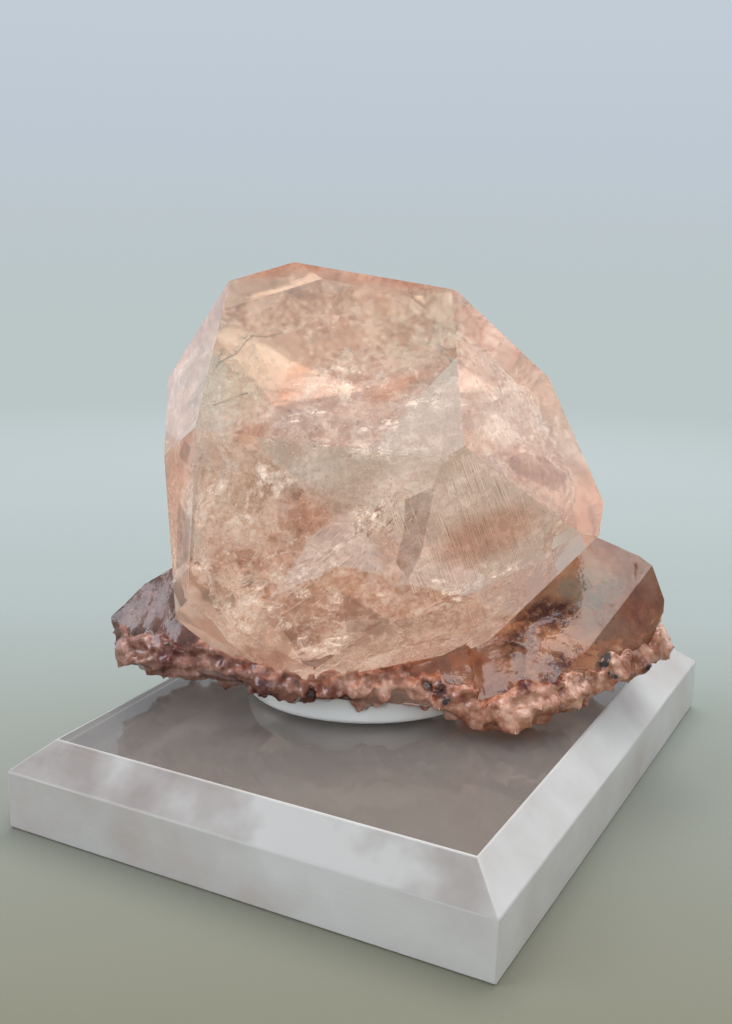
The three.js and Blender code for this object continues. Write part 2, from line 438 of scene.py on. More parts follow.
def inZones(point, zones, backLimit):
    if point.y > backLimit:
        return 0.0
    width, height = cameraSpec["picture"]
    offset = point - Vector(cameraSpec["place"])
    scale = cameraSpec["focal"] / offset.dot(cameraAhead)
    pointX, pointY = width / 2 + offset.dot(cameraRight) * scale, height / 2 - offset.dot(cameraUp) * scale
    most = 0.0
    for x, y, reachX, reachY, lean, strength in zones:
        turned = math.radians(lean)
        dx, dy = pointX - x, pointY - y
        u = (dx * math.cos(turned) - dy * math.sin(turned)) / reachX
        v = (dx * math.sin(turned) + dy * math.cos(turned)) / reachY
        inward = fadeTo(zoneEdge["gone"] - math.hypot(u, v), 0.0, zoneEdge["gone"] - zoneEdge["full"])
        most = max(most, strength * inward)
    return most


# The surface is glassy growth faces: low hillocks, steps on the striated faces, roughness low down.
surfaceRelief = {
    "hillock": 0.012,
    "hillockSpan": 5.0,
    "steppedFaces": ("striated", "undercutRight"),
    "step": 0.11,
    "stepSpan": 1.6,
    "stepStretch": 25.0,
    "fineStep": 0.055,
    "fineStepSpan": 1.6 / 2.7,
    "streakLean": 27,
    "roughFaces": ("frontLower", "undercutMiddle", "undercutRight", "undercutLeft"),
    "rough": 0.10,
    "roughSpan": 2.2,
    "edgeFade": 1.2,
}


def largeCrystalRelief(point, faceName):
    spec = surfaceRelief
    height = spec["hillock"] * noise.noise(point / spec["hillockSpan"])
    if faceName in spec["steppedFaces"]:
        lean = math.radians(spec["streakLean"])
        across = point.x * math.cos(lean) + point.z * math.sin(lean)
        along = point.z / spec["stepStretch"]
        # The third number only keeps the two noises apart.
        height += spec["step"] * noise.noise(Vector((across / spec["stepSpan"], along, 3.0)))
        height += spec["fineStep"] * noise.noise(Vector((across / spec["fineStepSpan"], along, 9.0)))
    if faceName in spec["roughFaces"]:
        height += spec["rough"] * noise.noise(point / spec["roughSpan"] + Vector((7, 1, 5)))
    return height


# Tints that the surface shows, in zones of the picture.
surfaceTints = {
    "clear": "#f9e9dc",
    "backLimit": 10.0,
    "tints": {"green": "#e6e3cd", "orange": "#f2a878", "brown": "#cfa08a"},
    "zones": {
        "green": [(232, 365, 50, 70, -20, 1.0), (415, 325, 70, 50, 0, 1.0), (310, 325, 110, 60, 0, 0.8)],
        "orange": [
            (288, 268, 62, 8, 8, 0.7), (400, 283, 60, 5, -8, 0.5), (176, 490, 10, 50, 0, 0.6),
            (590, 500, 24, 60, -25, 0.4), (298, 372, 16, 8, 20, 0.5), (285, 394, 16, 8, 30, 0.5),
            (392, 388, 34, 10, 25, 0.6), (250, 434, 22, 12, 20, 0.6), (540, 380, 40, 26, -45, 0.35),
        ],
        "brown": [
            (488, 535, 66, 26, 22, 1.0), (310, 508, 36, 26, -20, 0.8), (300, 445, 44, 16, 0, 0.4),
            (536, 470, 34, 22, -30, 0.7), (235, 560, 14, 44, 60, 0.4), (392, 558, 16, 32, 20, 0.8),
            (184, 560, 8, 40, 0, 0.6), (270, 660, 40, 14, -20, 0.4),
        ],
    },
}


def makeClearCalcite():
    # Calcite that grew clear: glass clear with IOR 1.6, peach through its thickness, its skin faintly satin.
    material, tree = newMaterial("clear peach calcite")
    colour = surfaceTints["clear"]
    for tint, shade in surfaceTints["tints"].items():
        share = addNode(tree, "Attribute", {"attribute_name": tint}, out="Fac")
        colour = addNode(tree, "Mix", {"data_type": "RGBA"}, {0: share, 6: colour, 7: shade}, out=2)
    satin = addNode(tree, "Attribute", {"attribute_name": "satin"}, out="Fac")
    clear = addNode(tree, "Math", {"operation": "SUBTRACT"}, {0: 1.0, 1: satin})
    shader = addNode(tree, "BsdfPrincipled", inputs={
        "Base Color": colour, "Roughness": 0.03, "IOR": calciteIor, "Transmission Weight": clear,
    })
    absorb = addNode(tree, "VolumeAbsorption", inputs={"Color": "#eec09c", "Density": 7.5})
    addNode(tree, "OutputMaterial", inputs={"Surface": shader, "Volume": absorb})
    return material


def makeLargeCrystal():
    bm = cutCrystal(planes, 0.0)
    owner = bm.faces.layers.string.new("grown")
    for face in bm.faces:
        face[owner] = nearestFaces(face.calc_center_median())[0][1].encode()
    gridCut(bm, largeCrystal["grid"])
    satin = bm.faces.layers.float.new("satin")
    for face in bm.faces:
        face[satin] = largeCrystal["satin"].get(face[owner].decode(), largeCrystal["plainSatin"])
    tints = {tint: bm.verts.layers.float.new(tint) for tint in surfaceTints["tints"]}
    moves = {}
    for vert in bm.verts:
        for tint, layer in tints.items():
            vert[layer] = inZones(vert.co, surfaceTints["zones"][tint], surfaceTints["backLimit"])
        names = {face[owner].decode() for face in vert.link_faces}
        if len(names) == 1:
            name = names.pop()
            fromEdge = nearestFaces(vert.co)[1][0]
            height = largeCrystalRelief(vert.co, name) * fadeTo(fromEdge, 0.0, surfaceRelief["edgeFade"])
            moves[vert] = planes[name][0] * height
    markSharp(bm, largeCrystal["sharp"])
    for vert, move in moves.items():
        vert.co += move
    newInside("large_crystal", bm, makeClearCalcite())


makeLargeCrystal()
print("large crystal grown")

# The cloudy heart of the large crystal: healed cracks and fine bubbles so dense that they stop the light.
heart = {
    "inset": 5.0,
    "clearance": 0.8,
    "top": 50.0,
    "topFacing": (0.1, -0.25, 0.96),
    "topFade": 9.0,
    "wisp": 30.0,
    "wispMiddle": 22.0,
    "grid": 1.5,
    "lump": 2.6,
    "lumpSpan": 8.0,
    "lumpNoise": (0.8, 2.2, 4),  # fall-off, step between octaves, octaves
    "driftSpan": 11.8,
    "bubbleSpan": 1.11,  # drawn coarser than real bubbles, so that they show
    "palerFrom": 24.0,
    "paler": 0.16,
    "cloud": [(0.58, "#8f5439"), (0.68, "#c48c6c"), (0.78, "#edd0bb"), (0.92, "#fff8ee")],  # thin to dense
}


def makeCloudyCalcite():
    # Calcite clouded by bubbles: pale where they are dense, brown where one sees deep between them.
    material, tree = newMaterial("cloudy calcite")
    position = addNode(tree, "NewGeometry")
    drifts = addNode(tree, "TexNoise", inputs={
        "Vector": position, "Scale": 1 / (heart["driftSpan"] * mm), "Detail": 4.0, "Roughness": 0.72,
    })
    bubbles = addNode(tree, "TexNoise", inputs={
        "Vector": position, "Scale": 1 / (heart["bubbleSpan"] * mm), "Detail": 1.0, "Roughness": 0.7,
    })
    total = addNode(tree, "Math", {"operation": "MULTIPLY_ADD"}, {0: bubbles, 1: 0.5, 2: drifts})
    height = addNode(tree, "SeparateXYZ", inputs={"Vector": position}, out="Z")
    top = blockHigh.z + heart["top"] * mm
    # The cloud is paler towards the crown.
    paler = addNode(tree, "MapRange", inputs={
        "Value": height, "From Min": blockHigh.z + heart["palerFrom"] * mm, "From Max": top,
        "To Min": 0.0, "To Max": heart["paler"],
    })
    shade = addNode(tree, "Math", {"operation": "ADD"}, {0: total, 1: paler})
    colour = addNode(tree, "ValToRGB", inputs={"Fac": shade}, stops=heart["cloud"])
    # Its top ends in wisps: the denser the cloud, the higher it reaches.
    wispy = addNode(tree, "Math", {"operation": "MULTIPLY_ADD"}, {
        0: total, 1: -heart["wisp"] * mm, 2: height,
    })
    body = addNode(tree, "MapRange", inputs={
        "Value": wispy,
        "From Min": top - (heart["topFade"] + heart["wispMiddle"]) * mm,
        "From Max": top - heart["wispMiddle"] * mm,
        "To Min": 1.0, "To Max": 0.0,
    })
    dense = addNode(tree, "MapRange", inputs={
        "Value": total, "From Min": 0.6, "From Max": 0.9, "To Min": 0.13, "To Max": 0.42,
    })
    alpha = addNode(tree, "Math", {"operation": "MULTIPLY"}, {0: body, 1: dense})
    bump = addNode(tree, "Bump", inputs={"Height": bubbles, "Strength": 0.9, "Distance": 0.6 * mm})
    shader = addNode(tree, "BsdfPrincipled", inputs={
        "Base Color": colour, "Roughness": 0.3, "Normal": bump, "Alpha": alpha,
    })
    addNode(tree, "OutputMaterial", inputs={"Surface": shader})
    return material


def makeHeart():
    inner = dict(planes)
    inner["top"] = (Vector(heart["topFacing"]).normalized(), heart["top"] + heart["inset"])
    bm = cutCrystal(inner, -heart["inset"])
    gridCut(bm, heart["grid"])
    bm.normal_update()
    moves = []
    for vert in bm.verts:
        lump = noise.fractal(vert.co / heart["lumpSpan"], *heart["lumpNoise"])
        moves.append(vert.normal * lump * heart["lump"])
    for vert, move in zip(bm.verts, moves):
        vert.co += move
        away, name = nearestFaces(vert.co)[0]
        vert.co -= planes[name][0] * max(0.0, heart["clearance"] - away)
    for face in bm.faces:
        face.smooth = True
    newInside("cloudy_heart", bm, makeCloudyCalcite())


makeHeart()
print("cloudy heart grown")

# One drift span for all the thin marks: stain in cracks, and the painted light and shade of the growth lines
# and windows.
markDriftSpan = 2.0  # mm from one drift of stain to the next


def makeStainOrPaintedLight(name, colour, alpha):
    # A thin dull mark, so that the stone behind still shows: iron stain lying in a crack, and with other
    # colours the painted shade of the windows and the painted light and shade of the growth lines.
    material, tree = newMaterial(name)
    drifts = addNode(tree, "TexNoise", inputs={
        "Vector": addNode(tree, "NewGeometry"), "Scale": 1 / (markDriftSpan * mm), "Detail": 1.0,
    })
    share = addNode(tree, "MapRange", inputs={
        "Value": drifts, "From Min": 0.3, "From Max": 0.7, "To Min": alpha * 0.5, "To Max": alpha,
    })
    shader = addNode(tree, "BsdfPrincipled", inputs={
        "Base Color": colour, "Roughness": 0.4, "Alpha": share,
    })
    addNode(tree, "OutputMaterial", inputs={"Surface": shader})
    return material


# Cleavage flakes: tiny cracks along the calcite's cleavage, mirror bright or stained brown, in clusters; the
# brown ones are also a painted shade for contrast.
# Each cluster: picture x and y, its reach in pixels, how many, the longest in mm, and how they lean.
flakes = {
    "seed": 77,
    "depth": (0.5, 3.2),
    "clearance": 0.4,
    "tipClearance": 0.15,
    "lengths": (0.2, 0.75),
    "widths": (0.112, 0.364),
    "bulge": (0.3, 0.6),
    "skew": 0.2,
    "leanSpread": 22,
    "jitter": 0.22,
    "lamp": "front",
    "stainedShadeShare": 0.3,
    "stain": "#84523c",
    "clusters": [
        (346, 355, 7, 10, 1.5, 0), (317, 370, 8, 8, 1.2, 8), (444, 400, 7, 8, 1.4, 60),
        (434, 366, 5, 5, 0.9, 30), (403, 350, 8, 8, 1.2, 35), (494, 380, 18, 9, 2.2, -62),
        (484, 366, 12, 6, 2.0, -62),
        (286, 419, 22, 26, 1.3, 35), (431, 390, 12, 10, 1.3, 30), (548, 429, 10, 8, 1.4, 10),
        (329, 318, 20, 10, 0.8, 5), (372, 524, 18, 70, 3.4, 64), (395, 508, 24, 40, 2.4, 48),
        (254, 584, 12, 40, 3.0, 30), (289, 557, 22, 18, 2.6, 30), (280, 585, 10, 12, 1.2, 40),
        (227, 613, 12, 16, 1.3, 20), (245, 628, 12, 14, 1.3, 50), (334, 606, 11, 22, 1.8, 80),
        (453, 601, 12, 34, 2.8, 20), (400, 629, 10, 10, 1.5, 15), (509, 590, 12, 14, 1.6, 12),
        (362, 660, 14, 10, 2.4, -45), (191, 466, 8, 12, 1.4, 50), (211, 465, 7, 8, 1.3, 5),
        (251, 525, 9, 12, 1.5, 50), (175, 533, 6, 12, 1.4, 60), (540, 440, 26, 22, 1.2, 15),
        (350, 415, 60, 140, 0.9, 20), (260, 480, 55, 180, 0.8, 40), (400, 440, 60, 120, 1.0, 30),
        (300, 640, 70, 180, 1.2, 40), (330, 560, 60, 120, 1.0, 50), (215, 560, 35, 110, 1.1, 60),
        (470, 500, 50, 40, 0.7, 62), (520, 450, 40, 70, 0.9, 20), (300, 380, 60, 110, 0.7, 20),
        (450, 620, 40, 50, 0.9, 25), (235, 520, 50, 120, 0.9, 50), (320, 600, 50, 90, 1.1, 30),
        (540, 440, 40, 60, 0.8, 20), (560, 480, 24, 20, 0.7, 40), (365, 480, 60, 90, 0.9, 50),
    ],
}


def makeFlakeMirror():
    # A crack with air in it mirrors all the light: white and bright, slightly broken up.
    material, tree = newMaterial("cleavage crack")
    shader = addNode(tree, "BsdfPrincipled", inputs={
        "Base Color": "#fff4e8", "Roughness": 0.16, "Metallic": 1.0,
    })
    addNode(tree, "OutputMaterial", inputs={"Surface": shader})
    return material


def makeFlakes():
    spec = flakes
    chance = Lcg(spec["seed"])
    toLamp = unit(lamps[spec["lamp"]]["turn"], lamps[spec["lamp"]]["tilt"])
    bm = bmesh.new()
    for x, y, reach, count, longest, lean in spec["clusters"]:
        for i in range(count):
            angle, away = chance.between(0, 2 * math.pi), reach * math.sqrt(chance.between(0, 1))
            depth = chance.between(*spec["depth"])
            place, _, bent = fromPicture(x + away * math.cos(angle), y + away * math.sin(angle), depth)
            if not insideCrystal(place, spec["clearance"]):
                continue
            # Each flake is turned to throw the lamp's light to the eye, give or take a little.
            normal = ((toLamp - bent).normalized() + chance.scatter(spec["jitter"])).normalized()
            turned = math.radians(lean + chance.between(-spec["leanSpread"], spec["leanSpread"]))
            along = cameraRight * math.cos(turned) + cameraUp * math.sin(turned)
            along = (along - normal * along.dot(normal)).normalized()
            across = normal.cross(along)
            length = longest * chance.between(*spec["lengths"])
            width = length * chance.between(*spec["widths"])
            tip = along * length / 2
            sides = [
                across * side * width * chance.between(*spec["bulge"])
                + along * length * chance.between(-spec["skew"], spec["skew"])
                for side in (1, -1)
            ]
            corners = [place + tip, place + sides[0], place - tip, place + sides[1]]
            if all(insideCrystal(corner, spec["tipClearance"]) for corner in corners):
                face = bm.faces.new([bm.verts.new(corner) for corner in corners])
                # Stained flakes are dark brown: stain, and also a painted shade for contrast.
                face.material_index = 1 if chance.between(0, 1) < spec["stainedShadeShare"] else 0
    stained = makeStainOrPaintedLight("stained crack with painted shade", spec["stain"], alpha=0.7)
    newInside("cleavage_flakes", bm, makeFlakeMirror(), stained)


makeFlakes()
print("cleavage flakes set")

# Veils: healed cracks full of fine bubbles, thin curved sheets close under the front faces.
# Each sheet: picture x and y, its reach across and up in pixels, lean, depth in mm and strength.
veils = {
    "cells": 22,
    "curl": 1.6,
    "curls": 1.4,
    "shallowest": 0.6,
    "slope": 0.8,
    "clearance": 0.2,
    "skinFade": (0.3, 1.2),
    "edgeFade": 0.55,
    "driftSpan": 2.38,
    "pale": "#fff6ea",
    "sheets": [
        (340, 385, 70, 26, 8, 4.0, 0.8), (420, 405, 46, 24, 20, 3.0, 0.7), (300, 440, 60, 34, 30, 3.5, 0.8),
        (390, 445, 60, 22, -8, 2.5, 0.7), (240, 490, 48, 50, 60, 3.0, 0.9), (300, 520, 46, 50, 40, 4.0, 0.6),
        (375, 520, 34, 34, 62, 2.0, 0.9), (260, 585, 46, 34, 35, 2.5, 0.9), (330, 560, 50, 20, 35, 2.0, 0.7),
        (310, 635, 56, 26, -12, 2.0, 0.8), (400, 625, 40, 20, 12, 2.0, 0.6),
        (500, 420, 40, 26, -35, 3.5, 0.7), (545, 450, 34, 20, -40, 2.5, 0.7),
        (470, 580, 60, 16, 28, 2.0, 0.7), (205, 560, 20, 50, 84, 2.0, 0.7),
        (560, 430, 30, 14, -50, 2.0, 0.5), (330, 325, 60, 18, 5, 6.0, 0.35), (450, 340, 30, 30, 50, 4.0, 0.3),
        (372, 524, 12, 34, -26, 1.5, 1.3), (254, 582, 15, 13, 30, 1.5, 1.4), (334, 604, 9, 22, 0, 1.5, 1.2),
        (453, 603, 15, 8, 20, 1.2, 1.3), (191, 466, 8, 9, 40, 1.4, 1.3), (300, 417, 38, 7, 12, 2.0, 1.2),
        (344, 355, 10, 6, 0, 1.5, 1.2), (290, 600, 40, 14, 30, 1.6, 1.0), (240, 615, 24, 14, -45, 1.6, 1.0),
        (320, 640, 40, 10, 0, 1.6, 0.9), (385, 425, 44, 8, 12, 1.6, 0.9), (500, 575, 30, 8, 30, 1.4, 1.0),
        (430, 585, 20, 8, 10, 1.4, 0.8), (275, 480, 26, 30, 0, 1.8, 0.8), (215, 500, 14, 34, 0, 1.6, 0.8),
    ],
}


def makeVeilMaterial():
    # A healed crack: fine bubbles in drifts, brighter than the stone and clear between them.
    material, tree = newMaterial("healed crack veil")
    strength = addNode(tree, "Attribute", {"attribute_name": "strength"}, out="Fac")
    drifts = addNode(tree, "TexNoise", inputs={
        "Vector": addNode(tree, "NewGeometry"), "Scale": 1 / (veils["driftSpan"] * mm),
        "Detail": 4.0, "Roughness": 0.8,
    })
    bubbles = addNode(tree, "MapRange", inputs={
        "Value": drifts, "From Min": 0.5, "From Max": 0.66, "To Min": 0.0, "To Max": 0.95,
    })
    alpha = addNode(tree, "Math", {"operation": "MULTIPLY"}, {0: bubbles, 1: strength})
    shader = addNode(tree, "BsdfPrincipled", inputs={
        "Base Color": veils["pale"], "Roughness": 0.3, "Metallic": 0.3, "Alpha": alpha,
    })
    addNode(tree, "OutputMaterial", inputs={"Surface": shader})
    return material


def makeVeils():
    spec = veils
    bm = bmesh.new()
    layer = bm.verts.layers.float.new("strength")
    steps = [2 * i / spec["cells"] - 1 for i in range(spec["cells"] + 1)]
    for number, (sheetX, sheetY, across, up, lean, depth, strength) in enumerate(spec["sheets"]):
        cosLean, sinLean = math.cos(math.radians(lean)), math.sin(math.radians(lean))
        rows = []
        for v in steps:
            row = []
            for u in steps:
                x = sheetX + u * across * cosLean - v * up * sinLean
                y = sheetY - u * across * sinLean - v * up * cosLean
                wave = noise.noise(Vector((u * spec["curls"], v * spec["curls"], number * 3.1)))
                deep = depth + spec["curl"] * wave + spec["slope"] * v
                place = fromPicture(x, y, max(spec["shallowest"], deep))[0]
                vert = bm.verts.new(place)
                inside = fadeTo(nearestFaces(place)[0][0], *spec["skinFade"])
                vert[layer] = strength * inside * fadeTo(1 - math.hypot(u, v), 0.0, spec["edgeFade"])
                row.append(vert)
            rows.append(row)
        for lower, upper in zip(rows, rows[1:]):
            for i in range(spec["cells"]):
                corners = (lower[i], lower[i + 1], upper[i + 1], upper[i])
                if all(insideCrystal(corner.co, spec["clearance"]) for corner in corners):
                    bm.faces.new(corners)
    bmesh.ops.delete(bm, geom=[v for v in bm.verts if not v.link_faces], context="VERTS")
    for face in bm.faces:
        face.smooth = True
    newInside("healed_veils", bm, makeVeilMaterial())


makeVeils()
print("healed veils set")

# Brown windows: painted shade where the crystal shows its dark far side, each a thin dark plane by its
# corners.
windows = {
    # The colour of this painted shade.
    "stain": "#7d4c36",
    "depth": 1.6,
    "panes": [
        [(342, 592), (390, 620), (382, 633), (347, 633)],
        [(435, 487), (421, 554), (408, 580), (396, 562), (404, 530), (405, 500)],
        [(504, 460), (524, 452), (545, 458), (567, 475), (565, 495), (541, 485), (516, 473)],
        [(178, 500), (190, 520), (188, 560), (176, 570)],
        [(183, 438), (191, 447), (186, 463), (179, 456)],
    ],
}


def makeWindows():
    bm = bmesh.new()
    for pane in windows["panes"]:
        bm.faces.new([bm.verts.new(fromPicture(x, y, windows["depth"])[0]) for x, y in pane])
    newInside("brown_windows", bm, makeStainOrPaintedLight("painted shade of the far side", windows["stain"], alpha=0.5))


makeWindows()
print("brown windows set")

# Surface cracks below the crown: their courses on the picture, how deep they go and how far they slide down.
surfaceCracks = {
    "shallow": 0.12,
    "deep": 1.2,
    "slide": 1.6,
    "stain": "#84503a",
    "courses": [
        [(212, 374), (219, 362), (228, 357), (238, 352), (244, 343), (252, 335), (266, 336), (284, 332)],
        [(213, 405), (228, 399), (248, 392)],
        [(438, 343), (446, 349), (456, 348)],
    ],
}


def makeSurfaceCracks():
    spec = surfaceCracks
    bm = bmesh.new()
    for course in spec["courses"]:
        outer = [bm.verts.new(fromPicture(x, y, spec["shallow"])[0]) for x, y in course]
        inner = [bm.verts.new(fromPicture(x, y + spec["slide"], spec["deep"])[0]) for x, y in course]
        for i in range(len(course) - 1):
            bm.faces.new((outer[i], outer[i + 1], inner[i + 1], inner[i]))
    newInside("surface_cracks", bm, makeStainOrPaintedLight("stained surface crack", spec["stain"], alpha=0.75))


makeSurfaceCracks()
print("surface cracks set")

# Growth lines: long shallow steps as thin strips, some in painted light and the rest in painted shade, drawn
# wider than they are so that they show.
# Each field: picture x and y, reach across and along, lean off upright, how many, length in pixels.
growthLines = {
    "seed": 431,
    "depth": 0.25,
    "clearance": 0.1,
    "width": 0.11,
    "widths": (0.3, 1.0),
    "lengths": (0.2, 1.0),
    "leanSpread": 1.5,
    "bareFace": "frontRight",
    "shadedShare": 0.5,
    "light": "#fff4ea",
    "shade": "#8a5a44",
    "fields": [
        (480, 520, 95, 60, 20, 190, 60), (450, 560, 60, 60, 19, 130, 70), (520, 480, 50, 40, 22, 100, 50),
        (462, 462, 22, 14, 18, 34, 24), (430, 600, 40, 40, 24, 40, 60), (470, 620, 60, 24, -62, 40, 26),
        (388, 648, 34, 16, -52, 40, 26), (325, 540, 36, 20, -48, 40, 26), (300, 580, 50, 34, -50, 50, 30),
        (255, 620, 40, 30, -40, 30, 22), (186, 410, 14, 24, -46, 16, 30), (350, 560, 40, 40, -50, 40, 20),
    ],
}


def makeGrowthLines():
    spec = growthLines
    chance = Lcg(spec["seed"])
    bare = planes[spec["bareFace"]][0]
    bm = bmesh.new()
    for fieldX, fieldY, across, along, lean, count, longest in spec["fields"]:
        for i in range(count):
            angle, away = chance.between(0, 2 * math.pi), math.sqrt(chance.between(0, 1))
            x, y = fieldX + across * away * math.cos(angle), fieldY + along * away * math.sin(angle)
            half = longest * chance.between(*spec["lengths"]) / 2
            tilt = math.radians(lean + chance.between(-spec["leanSpread"], spec["leanSpread"]))
            stepX, stepY = math.sin(tilt) * half, math.cos(tilt) * half
            start, facing, _ = fromPicture(x - stepX, y - stepY, spec["depth"])
            end, endFacing, _ = fromPicture(x + stepX, y + stepY, spec["depth"])
            inside = insideCrystal(start, spec["clearance"]) and insideCrystal(end, spec["clearance"])
            if not inside or endFacing is not facing or facing is bare:
                continue
            width = spec["width"] * chance.between(*spec["widths"])
            side = (end - start).cross(facing).normalized() * width / 2
            middle = (start + end) / 2
            face = bm.faces.new([bm.verts.new(co) for co in (start, middle + side, end, middle - side)])
            face.material_index = 1 if chance.between(0, 1) < spec["shadedShare"] else 0
    # The lit strips are painted light, the shaded strips painted shade.
    lit = makeStainOrPaintedLight("lit growth step", spec["light"], alpha=0.9)
    newInside("growth_lines", bm, lit, makeStainOrPaintedLight("shaded growth step", spec["shade"], alpha=0.6))


makeGrowthLines()
print("growth lines set")

# Lower crystals and the mass they all grew from: each is the tight skin over its corners.
lowerCrystals = {
    "gap": 0.05,
    "grid": 1.2,
    "sharp": 12,
    "lump": 0.45,
    "lumpSpan": 3.5,
    "lumpNoise": (0.7, 2.1, 4),
    "calmFrom": 9,
    "calmTo": 15,
    "calm": 0.75,
    "seamFade": (0.1, 1.0),
    "right": [
        (31, 2, 25.6), (38.2, -1, 23.1), (40, -2, 21.9), (41.9, -4, 17), (41.7, -5, 15.3), (39.4, -7, 11),
        (31.5, -14, 6), (25, -17.5, 5), (20.8, -19.5, 4), (13.8, -21, 2.6), (10.6, -19.5, 3.4),
        (6.6, -18, 4.6), (29, 15, 21.5), (37.5, 11, 15), (36, 12, 7.5), (20, 17, 5.5), (4, 12, 5),
        (10, 2, 24),
    ],
    "mass": [
        (-26, -15, 6.4), (-17, -18, 5.6), (-6, -18, 5.4), (2, -17.5, 5), (12, -19, 4), (22, 13, 5),
        (6, 19, 6), (-10, 20, 6.2), (-26, 14, 6), (-24, -12, 15), (10, -12, 14), (14, 14, 20),
        (-8, 19, 22), (-24, 13, 18),
    ],
    "left": [
        (-43.6, -8, 8.4), (-44.3, -6, 12.9), (-39.5, -4, 17.7), (-34.8, -4, 20.7), (-20, -6, 24),
        (-30, 12, 17.5), (-40.5, 7, 12.5), (-38, 11, 6), (-42, -10, 6.6), (-35, -13, 7.6),
        (-27.4, -15, 7.2), (-22.4, -16, 6.4), (-20, 13, 5.4),
    ],
}


def hullMesh(name):
    bm = bmesh.new()
    for corner in lowerCrystals[name]:
        bm.verts.new(corner)
    made = bmesh.ops.convex_hull(bm, input=bm.verts[:])
    loose = [g for g in made["geom_interior"] + made["geom_unused"] if isinstance(g, bmesh.types.BMVert)]
    bmesh.ops.delete(bm, geom=list(set(loose)), context="VERTS")
    bmesh.ops.recalc_face_normals(bm, faces=bm.faces[:])
    return toMesh(bm, name, Matrix())


# A new mesh: the first joined to, or cut by, the second.
def combine(first, second, operation):
    base, tool = newObject("base", first), newObject("tool", second)
    modifier = base.modifiers.new("combine", "BOOLEAN")
    modifier.operation = operation
    modifier.object = tool
    modifier.solver = "EXACT"
    mesh = applied(base)
    bpy.data.objects.remove(tool)
    return mesh


# Brown calcite of the lower crystals and the rim: its colours, and its stains in zones of the picture.
brownCalcite = {
    "patchSpan": 7.7,
    "grainSpan": 1.11,
    "mauveTo": -20,  # mm right of the middle: mauve up to here, orange from the next
    "orangeFrom": 12,
    "shades": (0.5, 0.66, 0.85),  # dark, middle and pale
    "backLimit": 5.0,
    "stains": {"clear": "#c9bb9a", "deep": "#5f2509", "wine": "#5a2016", "oxide": "#1f110d"},
    "zones": {
        "clear": [(590, 590, 36, 22, 0, 0.9), (600, 625, 20, 20, 0, 0.4)],
        "deep": [(548, 616, 30, 17, 12, 1.0), (520, 642, 24, 18, 35, 0.6), (492, 657, 24, 10, 30, 0.3)],
        "wine": [
            (560, 661, 16, 10, 10, 0.9), (555, 679, 14, 7, 20, 0.9), (525, 684, 8, 12, 0, 0.7),
            (248, 662, 12, 10, 0, 0.9), (264, 690, 12, 12, 0, 1.0), (232, 650, 14, 8, 20, 0.5),
            (170, 655, 16, 9, 10, 0.6), (150, 640, 30, 12, -20, 0.3), (440, 690, 14, 12, 0, 0.9),
            (585, 680, 14, 8, 0, 0.4), (320, 695, 20, 8, 0, 0.5),
        ],
        "oxide": [
            (606, 660, 5, 10, -20, 1.1), (613, 675, 7, 4, -25, 0.8), (446, 700, 6, 5, 30, 1.1),
            (440, 689, 5, 6, -20, 0.6), (650, 668, 5, 4, 20, 0.8), (298, 682, 4, 4, 0, 0.5),
            (405, 698, 3, 3, 0, 0.5), (262, 684, 4, 6, 30, 0.5),
        ],
    },
}


def stainVertices(bm):
    layers = {stain: bm.verts.layers.float.new(stain) for stain in brownCalcite["stains"]}
    for vert in bm.verts:
        for stain, layer in layers.items():
            vert[layer] = inZones(vert.co, brownCalcite["zones"][stain], brownCalcite["backLimit"])


